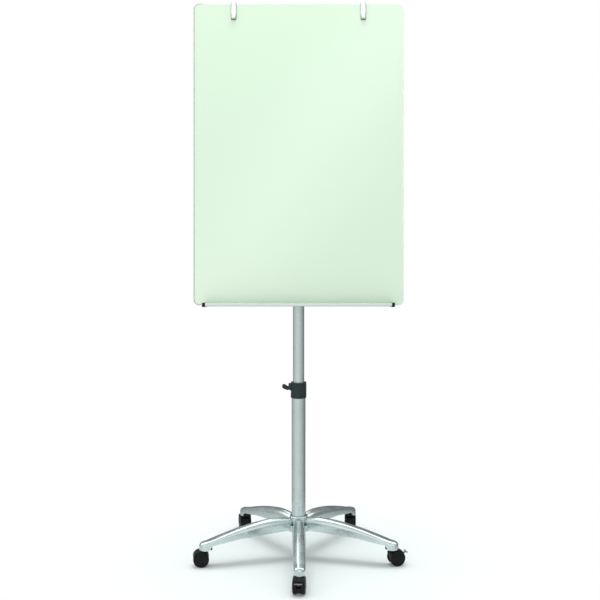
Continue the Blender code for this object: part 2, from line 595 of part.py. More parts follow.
# ---- assembly -----------------------------------------------------------------------------------
def main():
    clear_scene()
    finish = {
        "glass": material("glass", (0.73, 0.90, 0.73), 0.05, see_through=0.35),
        "white": material("white_enamel", (0.88, 0.90, 0.88), 0.40),
        "chrome": material("chrome", (0.80, 0.81, 0.82), 0.08, 1.0),
        "rubber": material("rubber", (0.03, 0.03, 0.03), 0.80),
        "aluminium": material("anodised_aluminium", (0.74, 0.76, 0.77), 0.32, 1.0),
        "satin": material("satin_tube", (0.56, 0.60, 0.58), 0.35, 1.0),
        "grey": material("grey_casting", (0.42, 0.44, 0.44), 0.45, 0.6),
        "steel": material("zinc_steel", (0.55, 0.56, 0.57), 0.30, 1.0),
        "cast": material("polished_casting", (0.66, 0.70, 0.69), 0.22, 1.0),
        "black": material("black_plastic", (0.035, 0.042, 0.042), 0.42),
        "tyre": material("wheel_plastic", (0.018, 0.020, 0.020), 0.50),
    }
    base = empty("base", (POST_X, POST_Y, 0.0))
    mast = empty("mast", (0.0, 0.0, 0.0), parent=base)
    board = empty("board", (0.0, BOARD_FOOT_Y, BOARD_FOOT_Z), (-BOARD_TILT, 0.0, 0.0), mast)
    build_board(board, finish)
    build_hooks(board, finish)
    build_tray(board, finish)
    build_rails(board, finish)
    build_mast(mast, finish)
    build_clamp(base, finish)
    build_post(base, finish)
    star = empty("star", (0.0, 0.0, 0.0), (0.0, 0.0, math.radians(STAR_TURN)), base)
    build_base(star, finish)
    for name in LEG_ANGLES:
        build_caster(name, star, finish)


main()
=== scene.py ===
"""Looks of the mobile flip chart easel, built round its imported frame.

Metres, +Z up. Every piece is modelled in the frame of the thing it belongs to (board, post, star or
caster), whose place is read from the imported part, and then rides on that thing's body.
"""

import json
import math

import bmesh
import bpy
from mathutils import Matrix, Vector


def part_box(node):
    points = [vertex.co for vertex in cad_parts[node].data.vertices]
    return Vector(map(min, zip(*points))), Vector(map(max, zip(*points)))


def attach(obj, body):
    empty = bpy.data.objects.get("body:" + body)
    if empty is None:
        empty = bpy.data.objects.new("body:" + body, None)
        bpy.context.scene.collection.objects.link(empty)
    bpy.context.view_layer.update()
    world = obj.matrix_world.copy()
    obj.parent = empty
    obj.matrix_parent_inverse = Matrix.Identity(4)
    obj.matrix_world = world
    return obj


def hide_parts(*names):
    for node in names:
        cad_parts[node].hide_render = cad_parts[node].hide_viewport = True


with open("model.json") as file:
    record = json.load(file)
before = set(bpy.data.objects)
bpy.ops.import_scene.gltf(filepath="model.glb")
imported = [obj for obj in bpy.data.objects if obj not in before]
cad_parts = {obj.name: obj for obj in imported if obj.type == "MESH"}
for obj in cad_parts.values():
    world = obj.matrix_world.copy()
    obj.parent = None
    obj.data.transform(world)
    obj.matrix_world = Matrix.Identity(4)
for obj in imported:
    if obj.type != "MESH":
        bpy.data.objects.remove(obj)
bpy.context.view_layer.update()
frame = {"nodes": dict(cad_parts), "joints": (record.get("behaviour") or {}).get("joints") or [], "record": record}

# ---- places, from the frame
JOINTS = {joint["name"]: joint for joint in frame["joints"]}
MOUNTS = {mount["name"]: mount for mount in frame["record"]["mounts"]}
CASTERS = ("front", "right", "rear_right", "rear_left", "left")


def extent(node, axis):
    """Lowest and highest coordinate of a node of the frame along one axis."""
    low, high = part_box(node)
    return low[axis], high[axis]


def half_width(node):
    low, high = extent(node, 0)
    return (high - low) / 2.0


POST = (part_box("upper_tube")[0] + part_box("upper_tube")[1]) / 2.0
POST.z = 0.0
POST_PLACE = Matrix.Translation(POST)

# ---- driving dimensions
GAP = 0.0003

BOARD_W, BOARD_H, BOARD_R = 2 * half_width("glass_panel"), 0.914, 0.018
GLASS_T, GLASS_MARGIN, GLASS_EDGE = 0.004, 0.0042, 0.0009
STEEL_T, STEEL_INSET, STEEL_EDGE = 0.001, 0.004, 0.0004
BOARD_BACK = GLASS_T + GAP + STEEL_T

HOOK_HALF_W, HOOK_TIP_HALF_W, HOOK_T, HOOK_CROWN = 0.00875, 0.0062, 0.0016, 0.0006
HOOK_GAP, HOOK_FRONT, HOOK_REAR, HOOK_CURL_R = 0.0018, 0.0445, 0.030, 0.0039
HOOK_BEND_R, HOOK_LIP, HOOK_EDGE = 0.0034, 0.0035, 0.0004
HOOK_TAPER, HOOK_TAPER_SPAN = 0.62, 0.36  # where its front starts to narrow, and for how long, as shares
HOOK_WAIST, HOOK_WAIST_REACH, HOOK_END = 0.22, 0.006, 0.82  # narrower over the board's edge and at the ends

TRAY_L, TRAY_DEPTH, TRAY_T, TRAY_SINK = 2 * half_width("marker_tray"), 0.0610, 0.0018, 0.0030
LIP_T, LIP_TOP, TRAY_REAR_UP = 0.0055, 0.0067, 0.030
TRAY_GROOVES, GROOVE_HALF_W, GROOVE_DEPTH, TROUGH_R = (-0.012, -0.024, -0.036), 0.0006, 0.0004, 0.0016
CAP_PLATE, CAP_RIM, CAP_WALL, CAP_TOP, CAP_ROUND = 0.003, 0.0056, 0.0015, 0.0085, 0.0042

RAIL_L, RAIL_H, RAIL_DEPTH, RAIL_T = 2 * half_width("rail_lower"), 0.036, 0.012, 0.0015
RAIL_LEVELS = {"lower": 0.12, "middle": 0.44, "upper": 0.80}
SADDLE_R, SADDLE_H, SADDLE_PLATE, SADDLE_RIB = 0.0238, 0.044, (0.110, 0.004, 0.034), 0.016
SADDLE_CORNER, SADDLE_RIB_INSET = 0.006, 0.006
SCREW_R, SCREW_HEAD_R, SCREW_HEAD_H = 0.0025, 0.0055, 0.0035
SCREW_KEY_R, SCREW_KEY_FLOOR = 0.0018, 0.0012  # the hexagon socket in a screw's head

UPPER_R, LOWER_R, TUBE_WALL = half_width("upper_tube"), half_width("lower_tube"), 0.0019
COLLAR_R, COLLAR_ROUND, COLLAR_TOP_ROUND, COLLAR_BORE_ROUND = 0.0247, 0.0026, 0.0012, 0.0006
COLLAR_LOW, COLLAR_TOP = extent("clamp_collar", 2)
LUG_REACH, LUG_HALF_W, LUG_LOW, LUG_TOP, LUG_SLOPE = 0.0316, 0.0100, 0.5345, 0.5570, 0.006
LEVER_HALF_W, LEVER_KNUCKLE = 0.0045, 0.0046

STEM_CIRCLE_R = 0.3065
HUB_R, HUB_LOW, HUB_TOP, HUB_ROUND, HUB_BORE_R = 0.029, 0.080, 0.132, 0.003, LOWER_R + 0.0009
HUB_WEB_R, HUB_WEB_LOW, HUB_WEB_TOP = 0.0380, 0.0855, 0.1050
SCALLOP_R, SCALLOP_AT = 0.0052, 0.0410  # the notch between two legs, and its distance from the post
BOLT_R, BOLT_HEAD_R, BOLT_BORE_R = 0.0040, 0.0105, 0.0045
LEG_START, HOLLOW_START, HOLLOW_EXTRA, LEG_WALL = 0.014, 0.040, 0.02, 0.0034
BOSS_R, BOSS_LOW, BOSS_START, BOSS_EASE = 0.0183, 0.0520, 0.0115, 0.005
SHOULDER, SQUARENESS = 0.48, 0.80
BOSS_SLOPE, TIP_ROUND = 0.245, 0.010
# distance from the post, crown height, lower edge, half width
LEG_SHAPE = (
    (0.018, 0.1230, 0.0870, 0.0150),
    (0.060, 0.1280, 0.0880, 0.0185),
    (0.100, 0.1275, 0.0865, 0.0206),
    (0.150, 0.1205, 0.0825, 0.0202),
    (0.200, 0.1095, 0.0790, 0.0196),
    (0.250, 0.0955, 0.0712, 0.0190),
    (0.286, 0.0840, 0.0662, 0.0184),
)

TRAIL, WHEEL_R, WHEEL_IN, WHEEL_OUT = 0.0125, 0.0245, 0.0070, 0.0195
HOOD_R, HOOD_IN_R, HOOD_HALF_W = 0.0270, 0.0252, 0.0180
# where a cover starts, if braked or not, and where it ends, in degrees up from the trailing side
HOOD_START, HOOD_END = {True: 40.0, False: 24.0}, 152.0
RIDGE_H, RIDGE_HALF_W = 0.0004, 0.0032
AXLE_BORE_R, STEM_BORE_R, STEM_BORE_TOP = 0.0033, 0.0043, 0.0656
WEB_HALF_W, WEB_R, WEB_NOTCH_R = 0.0066, 0.0215, 0.0120
NECK_R, NECK_LOW, PLUG_R, PLUG_TOP = 0.0085, 0.0470, 0.0146, 0.0665
LOBE_REACH, LOBE_HALF_W, LOBE_TOP, LOBE_CORNER = 0.0220, 0.0110, 0.0640, 0.0055
PEDAL_TILT, PEDAL_KNUCKLE, PEDAL_PAD = 29.8, 0.0024, (0.0040, 0.0240, 0.0028)
PEDAL_NECK, PEDAL_ARM_HALF_W = 0.0180, 0.0035
PEDAL_RIB_W, PEDAL_RIB_STEP, PEDAL_RIB_H, PEDAL_RIB_INSET = 0.0007, 0.0014, 0.0004, 0.0025
BRAKED = ("front", "right")

Y_AXIS = Matrix.Rotation(math.radians(-90.0), 4, "X")  # turns +Z to +Y


# ---- mesh helpers
def shape(verts, faces, place=None):
    """A mesh object from vertices and faces, its normals outward."""
    mesh = bpy.data.meshes.new("shape")
    mesh.from_pydata([tuple(v) for v in verts], [], faces)
    work = bmesh.new()
    work.from_mesh(mesh)
    bmesh.ops.remove_doubles(work, verts=work.verts, dist=1e-6)
    bmesh.ops.recalc_face_normals(work, faces=work.faces)
    work.to_mesh(mesh)
    work.free()
    if place is not None:
        mesh.transform(place)
    made = bpy.data.objects.new("shape", mesh)
    bpy.context.scene.collection.objects.link(made)
    return made


def lathe(profile, segments=72, place=None):
    """A solid turned about Z from (radius, height) points: a loop, or a line from axis to axis."""
    verts, rows = [], []
    for radius, height in profile:
        if radius < 1e-7:
            rows.append([len(verts)] * segments)
            verts.append((0.0, 0.0, height))
            continue
        rows.append(list(range(len(verts), len(verts) + segments)))
        for step in range(segments):
            angle = 2.0 * math.pi * step / segments
            verts.append((radius * math.cos(angle), radius * math.sin(angle), height))
    pairs = list(zip(rows, rows[1:]))
    if profile[0][0] > 1e-7:
        pairs.append((rows[-1], rows[0]))
    faces = []
    for low, high in pairs:
        for step in range(segments):
            after = (step + 1) % segments
            corners = (low[step], low[after], high[after], high[step])
            face = [c for at, c in enumerate(corners) if c not in corners[:at]]
            if len(face) > 2:
                faces.append(face)
    return shape(verts, faces, place)


def loft(loops, place=None):
    """A closed body through loops of equally many points, its ends flat."""
    count = len(loops[0])
    verts = [point for loop in loops for point in loop]
    faces = [list(range(count)), list(range(len(verts) - count, len(verts)))]
    for row in range(len(loops) - 1):
        for step in range(count):
            after = (step + 1) % count
            low, high = row * count, (row + 1) * count
            faces.append([low + step, low + after, high + after, high + step])
    return shape(verts, faces, place)


def arc(centre, radius, start, end, steps):
    """Points on a circle from one angle to another, in degrees."""
    found = []
    for step in range(steps + 1):
        angle = math.radians(start + (end - start) * step / steps)
        found.append((centre[0] + radius * math.cos(angle), centre[1] + radius * math.sin(angle)))
    return found


def soften(points, radius, steps=4, closed=True):
    """An outline with each corner replaced by a round one."""
    found, count = [], len(points)
    for at, point in enumerate(points):
        corner = Vector(point)
        if not closed and at in (0, count - 1):
            found.append(tuple(corner))
            continue
        before, after = Vector(points[at - 1]), Vector(points[(at + 1) % count])
        reach = min(radius, (before - corner).length * 0.48, (after - corner).length * 0.48)
        start = corner + (before - corner).normalized() * reach
        end = corner + (after - corner).normalized() * reach
        for step in range(steps + 1):
            share = step / steps
            bent = start * (1 - share) ** 2 + corner * 2 * share * (1 - share) + end * share**2
            found.append(tuple(bent))
    return found


def prism_x(outline, half):
    return loft([[(x, y, z) for y, z in outline] for x in (-half, half)])


def prism_y(outline, half, place=None):
    return loft([[(x, y, z) for x, z in outline] for y in (-half, half)], place)


def prism_z(outline, low, high):
    return loft([[(x, y, z) for x, y in outline] for z in (low, high)])


def block(low, high):
    corners = [(low[0], low[1]), (high[0], low[1]), (high[0], high[1]), (low[0], high[1])]
    return prism_z(corners, low[2], high[2])


def rod(radius, low, high, segments=48, place=None):
    return lathe([(0.0, low), (radius, low), (radius, high), (0.0, high)], segments, place)


def settle(target):
    """Makes what the modifiers give the object's own mesh."""
    found = target.evaluated_get(bpy.context.evaluated_depsgraph_get())
    mesh = bpy.data.meshes.new_from_object(found)
    target.modifiers.clear()
    target.data = mesh
    return target


def combine(target, tools, operation):
    for tool in tools:
        change = target.modifiers.new("change", "BOOLEAN")
        change.object, change.operation, change.solver = tool, operation, "EXACT"
        settle(target)
        bpy.data.objects.remove(tool, do_unlink=True)


def join(target, *tools):
    combine(target, tools, "UNION")


def cut(target, *tools):
    combine(target, tools, "DIFFERENCE")


def bevel(target, width, segments=2, degrees=35.0):
    work = bmesh.new()
    work.from_mesh(target.data)
    bmesh.ops.remove_doubles(work, verts=work.verts, dist=5e-6)
    bmesh.ops.dissolve_limit(work, angle_limit=math.radians(0.5), verts=work.verts, edges=work.edges)
    work.to_mesh(target.data)
    work.free()
    change = target.modifiers.new("bevel", "BEVEL")
    change.width, change.segments, change.limit_method = width, segments, "ANGLE"
    change.angle_limit = math.radians(degrees)
    return settle(target)


def two_finishes(made, first, second, is_second):
    """Gives a mesh two finishes, the second on the faces that is_second picks."""
    for finish in (first, second):
        made.data.materials.append(finish)
    for polygon in made.data.polygons:
        polygon.material_index = int(is_second(polygon))


def piece(name, made, finish, body, nodes, place, sharp=50.0):
    """Names a mesh, puts it in place, and lets it stand for nodes of the frame on a body.

    The finish is None where the mesh has its finishes already.
    """
    made.name = made.data.name = name
    if finish is not None:
        made.data.materials.clear()
        made.data.materials.append(finish)
    made.data.shade_smooth()
    made.data.set_sharp_from_angle(angle=math.radians(sharp))
    even = made.modifiers.new("normals", "WEIGHTED_NORMAL")
    even.keep_sharp, even.weight = True, 80
    made.matrix_world = place
    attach(made, body)
    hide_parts(*nodes)


# ---- materials
PLASTIC_SPECULAR = 0.16
DUST = (0.022, 0.022, 0.020)
CAST_WAVE, CAST_GRAIN = 0.00003, 0.0000015  # heights of the casting's undulation and of its polish marks


class Graph:
    """A tree of shader nodes, with short ways to add to it."""

    def __init__(self, holder):
        holder.use_nodes = True
        self.nodes, self.links = holder.node_tree.nodes, holder.node_tree.links

    def feed(self, socket, value):
        """Gives a socket a plain value or another node's output."""
        if isinstance(value, bpy.types.NodeSocket):
            self.links.new(value, socket)
        else:
            socket.default_value = value

    def add(self, kind, **inputs):
        """A new node, its inputs fed by name, with an underscore for each space."""
        made = self.nodes.new(kind)
        for name, value in inputs.items():
            self.feed(made.inputs[name.replace("_", " ")], value)
        return made

    def maths(self, operation, *values):
        made = self.nodes.new("ShaderNodeMath")
        made.operation = operation
        for socket, value in zip(made.inputs, values):
            self.feed(socket, value)
        return made.outputs["Value"]

    def product(self, first, *others):
        for other in others:
            first = self.maths("MULTIPLY", first, other)
        return first

    def radius(self, x, y):
        return self.maths("SQRT", self.maths("ADD", self.product(x, x), self.product(y, y)))

    def split(self, vector):
        made = self.add("ShaderNodeSeparateXYZ", Vector=vector)
        return [made.outputs[axis] for axis in "XYZ"]

    def step(self, value, low, high, bottom=0.0, top=1.0):
        """A smooth change from bottom to top, while the value goes from low to high."""
        ends = {"From_Min": low, "From_Max": high, "To_Min": bottom, "To_Max": top}
        made = self.add("ShaderNodeMapRange", Value=value, **ends)
        made.interpolation_type = "SMOOTHSTEP"
        return made.outputs["Result"]


class Finish(Graph):
    """A material made of nodes, in the object's own coordinates, whose unit is the metre."""

    def __init__(self, name, colour, roughness, metallic=0.0, ior=1.5, specular=0.5):
        self.made = bpy.data.materials.new(name)
        super().__init__(self.made)
        self.shader = self.nodes["Principled BSDF"]
        self.shader.inputs["Base Color"].default_value = (*colour, 1.0)
        self.shader.inputs["Roughness"].default_value = roughness
        self.shader.inputs["Metallic"].default_value = metallic
        self.shader.inputs["IOR"].default_value = ior
        self.shader.inputs["Specular IOR Level"].default_value = specular
        self.place = self.nodes.new("ShaderNodeTexCoord").outputs["Object"]

    def noise(self, scale, stretch=(1.0, 1.0, 1.0), detail=3.0, rough=0.55):
        """Noise of about scale features a metre, drawn out where stretch is small."""
        at = self.add("ShaderNodeMapping", Vector=self.place, Scale=stretch).outputs["Vector"]
        made = self.add("ShaderNodeTexNoise", Vector=at, Scale=scale, Detail=detail, Roughness=rough)
        return made.outputs["Fac"]

    def patches(self, scale, bottom=0.0, top=1.0, **kind):
        """Soft patches between two values."""
        return self.step(self.noise(scale, **kind), 0.3, 0.7, bottom, top)

    def blend(self, share, first, second):
        """A colour between two, each a colour or another node's output."""
        made = self.nodes.new("ShaderNodeMix")
        made.data_type = "RGBA"
        self.feed(made.inputs["Factor"], share)
        for name, value in (("A", first), ("B", second)):
            self.feed(made.inputs[name], (*value, 1.0) if isinstance(value, tuple) else value)
        return made.outputs["Result"]

    def toned(self, share, colour, low, high):
        """The colour, darker or paler by the share."""
        return self.blend(share, shade(colour, low), shade(colour, high))

    def shade_mask(self, reach):
        """0 in corners narrower than reach, 1 in the open: the mask for painted shade."""
        made = self.add("ShaderNodeAmbientOcclusion", Distance=reach)
        made.samples = 8
        return made.outputs["AO"]

    def paint(self, colour):
        self.links.new(colour, self.shader.inputs["Base Color"])

    def rough(self, value):
        self.links.new(value, self.shader.inputs["Roughness"])

    def bump(self, *layers):
        """Surface relief from (height, depth in metres) layers."""
        normal = None
        for height, depth in layers:
            made = self.add("ShaderNodeBump", Strength=1.0, Distance=depth, Height=height)
            if normal is not None:
                self.links.new(normal, made.inputs["Normal"])
            normal = made.outputs["Normal"]
        self.links.new(normal, self.shader.inputs["Normal"])


def shade(colour, by):
    return tuple(min(1.0, part * by) for part in colour)


def moulded(name, colour, roughness, worn=1.5, specular=PLASTIC_SPECULAR):
    """Moulded plastic: a fine spark-eroded grain, slow colour changes and paler, rubbed edges."""
    look = Finish(name, colour, roughness, specular=specular)
    tone = look.toned(look.patches(38.0), colour, 0.86, 1.16)
    edge = look.nodes.new("ShaderNodeNewGeometry").outputs["Pointiness"]
    rubbed = look.product(look.step(edge, 0.53, 0.60, 0.0, 0.8), look.noise(420.0))
    look.paint(look.blend(rubbed, tone, shade(colour, 1.0 + worn)))
    look.rough(look.patches(90.0, roughness - 0.05, roughness + 0.06))
    look.bump((look.noise(2600.0, detail=2.0), 0.000012), (look.noise(160.0, detail=1.0), 0.000018))
    return look.made


def brushed(name, colour, roughness, stretch, metallic=1.0):
    """Metal with fine lines along the axis in which stretch is small."""
    look = Finish(name, colour, roughness, metallic)
    line = look.noise(900.0, stretch, detail=4.0, rough=0.7)
    cloud = look.noise(14.0, detail=2.0)
    mix = look.maths("MULTIPLY_ADD", line, 0.6, look.product(cloud, 0.4))
    look.paint(look.toned(look.step(mix, 0.3, 0.7), colour, 0.94, 1.06))
    look.rough(look.step(mix, 0.3, 0.7, roughness - 0.05, roughness + 0.07))
    look.bump((line, 0.000006))
    return look.made


def enamel(name, colour, roughness, metallic=0.0):
    """Powder coat or enamel: an orange-peel surface with a slight change of tone."""
    look = Finish(name, colour, roughness, metallic)
    look.paint(look.toned(look.patches(22.0), colour, 0.965, 1.03))
    look.rough(look.patches(60.0, roughness - 0.04, roughness + 0.06))
    look.bump((look.noise(260.0, detail=1.5), 0.00003), (look.noise(1900.0, detail=2.0), 0.000006))
    return look.made


def cast_metal(name, colour, roughness):
    """Polished casting: soft undulations, a fine polish grain and dull patches, with painted shade in its
    crevices.
    """
    look = Finish(name, colour, roughness, 1.0)
    patch = look.patches(26.0)
    # painted shade: in crevices the colour turns to a far darker copy of itself
    outside_painted_shade = look.step(look.shade_mask(0.014), 0.25, 0.85)
    look.paint(look.blend(outside_painted_shade, shade(colour, 0.22), look.toned(patch, colour, 0.94, 1.05)))
    fine = look.noise(1500.0)
    dull = look.step(patch, 0.0, 1.0, roughness - 0.03, roughness + 0.05)
    look.rough(look.maths("ADD", dull, look.step(fine, 0.3, 0.7, -0.02, 0.02)))
    look.bump((look.noise(75.0, detail=1.0), CAST_WAVE), (fine, CAST_GRAIN))
    return look.made


def polished(name, colour, roughness):
    """Chrome or zinc plate: nearly smooth, with hairline scratches."""
    look = Finish(name, colour, roughness, 1.0)
    hair = look.noise(2200.0, (1.0, 1.0, 0.05), rough=0.8)
    look.paint(look.toned(look.patches(120.0), colour, 0.95, 1.03))
    look.rough(look.step(hair, 0.5, 0.85, roughness, roughness + 0.10))
    look.bump((hair, 0.000003), (look.noise(140.0, detail=0.5), 0.000012))
    return look.made


def rubber_like(name, colour, roughness):
    """Matt rubber: a coarse grain with uneven tone."""
    look = Finish(name, colour, roughness)
    look.paint(look.toned(look.patches(300.0), colour, 0.8, 1.5))
    look.rough(look.patches(500.0, roughness - 0.08, roughness + 0.08))
    look.bump((look.noise(3500.0, detail=2.0), 0.00002))
    return look.made


def wheel_plastic(name, colour, roughness):
    """Black nylon about Z: a scuffed, slightly dusty tread and turned rings on the disc."""
    look = Finish(name, colour, roughness, specular=PLASTIC_SPECULAR)
    x, y, _ = look.split(look.place)
    radius = look.radius(x, y)
    tread = look.step(radius, WHEEL_R - 0.0016, WHEEL_R - 0.0003)
    dusty = look.product(tread, look.step(look.noise(240.0, (1.0, 1.0, 0.5)), 0.42, 0.75, 0.0, 0.8))
    look.paint(look.blend(dusty, look.toned(look.patches(60.0), colour, 0.8, 1.3), DUST))
    patch = look.patches(130.0, roughness - 0.05, roughness + 0.07)
    look.rough(look.maths("ADD", patch, look.product(dusty, 0.25)))
    turned = look.maths("SINE", look.product(radius, 9000.0))
    look.bump((turned, 0.000002), (look.noise(2400.0, detail=2.0), 0.000010))
    return look.made


def painted_glass(name, colour, painted_shade_colour):
    """The writing face: nearly even paint under smooth, glossy glass, with painted shade next to what stands on
    it.
    """
    look = Finish(name, colour, 0.05, ior=2.8)
    tone = look.toned(look.patches(3.2, detail=2.0), colour, 0.992, 1.006)
    fleck = look.patches(700.0, detail=2.0)
    tone = look.blend(look.product(fleck, 0.35), tone, shade(colour, 0.985))
    # painted shade: next to the tray and the hooks the paint turns a darker green
    look.paint(look.blend(look.step(look.shade_mask(0.055), 0.45, 0.95), painted_shade_colour, tone))
    wiped = look.noise(26.0, (1.0, 1.0, 0.22), detail=4.0, rough=0.65)
    look.rough(look.step(wiped, 0.4, 0.75, 0.035, 0.085))
    look.bump((look.noise(5.0, detail=0.5), 0.00004))
    return look.made


def glass_margin(name, colour, pale, painted_shade_end, painted_shade_fade):
    """The unpainted margin and ground edge of the glass: darker green on its left side as painted shade, paler on
    the rest.
    """
    look = Finish(name, colour, 0.10, ior=1.52)
    look.shader.inputs["Transmission Weight"].default_value = 0.12
    x, _, _ = look.split(look.place)
    # painted shade: the margin is darker green up to a given x on the left, paler beyond
    side = look.step(x, painted_shade_end, painted_shade_end + painted_shade_fade)
    mottle = look.patches(60.0)
    green = look.toned(mottle, colour, 0.92, 1.07)
    look.paint(look.blend(side, green, look.toned(mottle, pale, 0.97, 1.02)))
    look.rough(look.patches(900.0, 0.07, 0.17))
    look.bump((look.noise(2600.0, detail=2.0), 0.000004))
    return look.made


# its last colour is the painted shade next to the tray and the hooks
GLASS = painted_glass("board_paint_under_glass", (0.500, 0.685, 0.500), (0.27, 0.56, 0.30))
# its first colour is the painted shade on the glass's left edge, the second the paler rest
MARGIN = glass_margin("glass_edge", (0.46, 0.58, 0.46), (0.72, 0.86, 0.73), -0.305, 0.030)
ENAMEL = enamel("white_enamel", (0.78, 0.80, 0.78), 0.36)
CHROME = polished("chrome", (0.83, 0.84, 0.85), 0.06)
ZINC = polished("zinc_plate", (0.55, 0.56, 0.57), 0.24)
TRAY_METAL = brushed("anodised_tray", (0.65, 0.685, 0.69), 0.30, (0.02, 1.0, 1.0))
# painted shade: a dark colour for the trough, standing in for the shade inside it
TRAY_PAINTED_SHADE = brushed("tray_trough_painted_shade", (0.20, 0.225, 0.22), 0.48, (0.02, 1.0, 1.0))
TUBE_METAL = brushed("satin_tube", (0.575, 0.690, 0.672), 0.26, (1.0, 1.0, 0.03), metallic=0.92)
CAST = cast_metal("polished_casting", (0.60, 0.690, 0.692), 0.24)
GREY_COAT = enamel("grey_powder_coat", (0.20, 0.21, 0.21), 0.45, metallic=0.3)
BLACK = moulded("black_nylon", (0.0045, 0.0066, 0.0068), 0.36)
COLLAR = moulded("slate_nylon", (0.022, 0.034, 0.036), 0.40, worn=0.8)
PEDAL = moulded("pedal_nylon", (0.13, 0.125, 0.125), 0.40, specular=0.5)
WHEEL = wheel_plastic("wheel_nylon", (0.0040, 0.0055, 0.0056), 0.36)
RUBBER = rubber_like("black_rubber", (0.022, 0.022, 0.022), 0.75)


# ---- board
rail_back = MOUNTS["upper_rail_back"]
BOARD_TILT = math.asin(-rail_back["axis"][2])
lean = Matrix.Rotation(-BOARD_TILT, 4, "X")
RAIL_BACK = Vector((0.0, BOARD_BACK + GAP + RAIL_DEPTH, RAIL_LEVELS["upper"]))
BOARD_PLACE = Matrix.Translation(Vector(rail_back["pos_m"]) - lean @ RAIL_BACK) @ lean


def sheet_loops(width, height, corner, levels, steps=14):
    """Rounded rectangles standing on z = 0, one for each (depth, inset)."""
    loops = []
    for depth, inset in levels:
        radius, half = corner - inset, width / 2 - corner
        outline = []
        for x, z, start in (
            (half, corner, -90.0),
            (half, height - corner, 0.0),
            (-half, height - corner, 90.0),
            (-half, corner, 180.0),
        ):
            outline += arc((x, z), radius, start, start + 90.0, steps)
        loops.append([(x, depth, z) for x, z in outline])
    return loops


def build_board():
    """The glass, its margin a material of its own, and the steel sheet behind it."""
    levels = [(0.0, GLASS_MARGIN)]
    for degrees in (0.0, 22.5, 45.0, 67.5, 90.0):
        turn = math.radians(degrees)
        levels.append((GLASS_EDGE * (1 - math.cos(turn)), GLASS_EDGE * (1 - math.sin(turn))))
    levels += [(GLASS_T - depth, inset) for depth, inset in levels[::-1]]
    made = loft(sheet_loops(BOARD_W, BOARD_H, BOARD_R, levels))
    two_finishes(made, GLASS, MARGIN, lambda face: len(face.vertices) == 4)
    piece("writing_glass", made, None, "mast", ["glass_panel"], BOARD_PLACE)

    front, back = GLASS_T + GAP, BOARD_BACK
    round_in = STEEL_EDGE / 4
    levels = ((front, 0.0), (back - STEEL_EDGE, 0.0), (back - round_in, round_in), (back, STEEL_EDGE))
    width, height = BOARD_W - 2 * STEEL_INSET, BOARD_H - 2 * STEEL_INSET
    made = loft(sheet_loops(width, height, BOARD_R - STEEL_INSET, levels))
    place = BOARD_PLACE @ Matrix.Translation((0.0, 0.0, STEEL_INSET))
    piece("steel_backing", made, ENAMEL, "mast", ["steel_back"], place)


def hook_path():
    """Middle line of the hook's strap as (y, z) from the board's top edge, from the rear to the curl."""
    outer = HOOK_GAP + HOOK_T / 2
    rear, bend = BOARD_BACK + outer, HOOK_BEND_R
    line = [(rear, -HOOK_REAR), (rear, -0.020), (rear, -0.010)]
    line += arc((rear - bend, outer - bend), bend, 0.0, 90.0, 6)
    line += arc((-outer + bend, outer - bend), bend, 90.0, 180.0, 6)
    line += [(-outer, -share * HOOK_FRONT) for share in (0.4, 0.6, 0.75, 0.88)]
    centre = (-outer - HOOK_CURL_R, -HOOK_FRONT)
    line += arc(centre, HOOK_CURL_R, 0.0, -180.0, 14)
    line.append((line[-1][0], line[-1][1] + HOOK_LIP))
    return [Vector(p) for p in line]


def build_hook(side):
    """A strap that narrows to its curl, with a crowned outer face."""
    path = hook_path()
    loops, steps = [], 7
    for at, spot in enumerate(path):
        before, after = path[max(at - 1, 0)], path[min(at + 1, len(path) - 1)]
        along = (after - before).normalized()
        out = Vector((along.y, -along.x))
        down = (-spot.y / HOOK_FRONT - HOOK_TAPER) / HOOK_TAPER_SPAN if spot.x < 0 else 0.0
        down = min(max(down, 0.0), 1.0)
        ease = down * down * (3 - 2 * down)
        top = 1.0 - HOOK_WAIST * max(0.0, 1.0 - abs(spot.y - HOOK_GAP) / HOOK_WAIST_REACH)
        half = (HOOK_HALF_W * top) * (1 - ease) + HOOK_TIP_HALF_W * ease
        if at in (0, len(path) - 1):
            half *= HOOK_END
        section = []
        for step in range(steps + 1):
            share = 2.0 * step / steps - 1.0
            crown = HOOK_CROWN * (1 - share**2)
            section.append((share * (half - HOOK_EDGE * share**2), 0.0005 * share**6 - HOOK_T / 2 - crown))
        for step in range(steps + 1):
            share = 1.0 - 2.0 * step / steps
            section.append((share * half, HOOK_T / 2 - 0.0003 * share**6))
        loops.append([(x, spot.x - out.x * off, spot.y - out.y * off) for x, off in section])
    made = loft(loops)
    low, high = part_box(f"hook_{side}")
    shift = Matrix.Translation(((low.x + high.x) / 2 - BOARD_PLACE.translation.x, 0.0, BOARD_H))
    body = f"{side}_hook"
    piece(f"paper_hook_{side}", made, CHROME, body, [f"hook_{side}"], BOARD_PLACE @ shift)


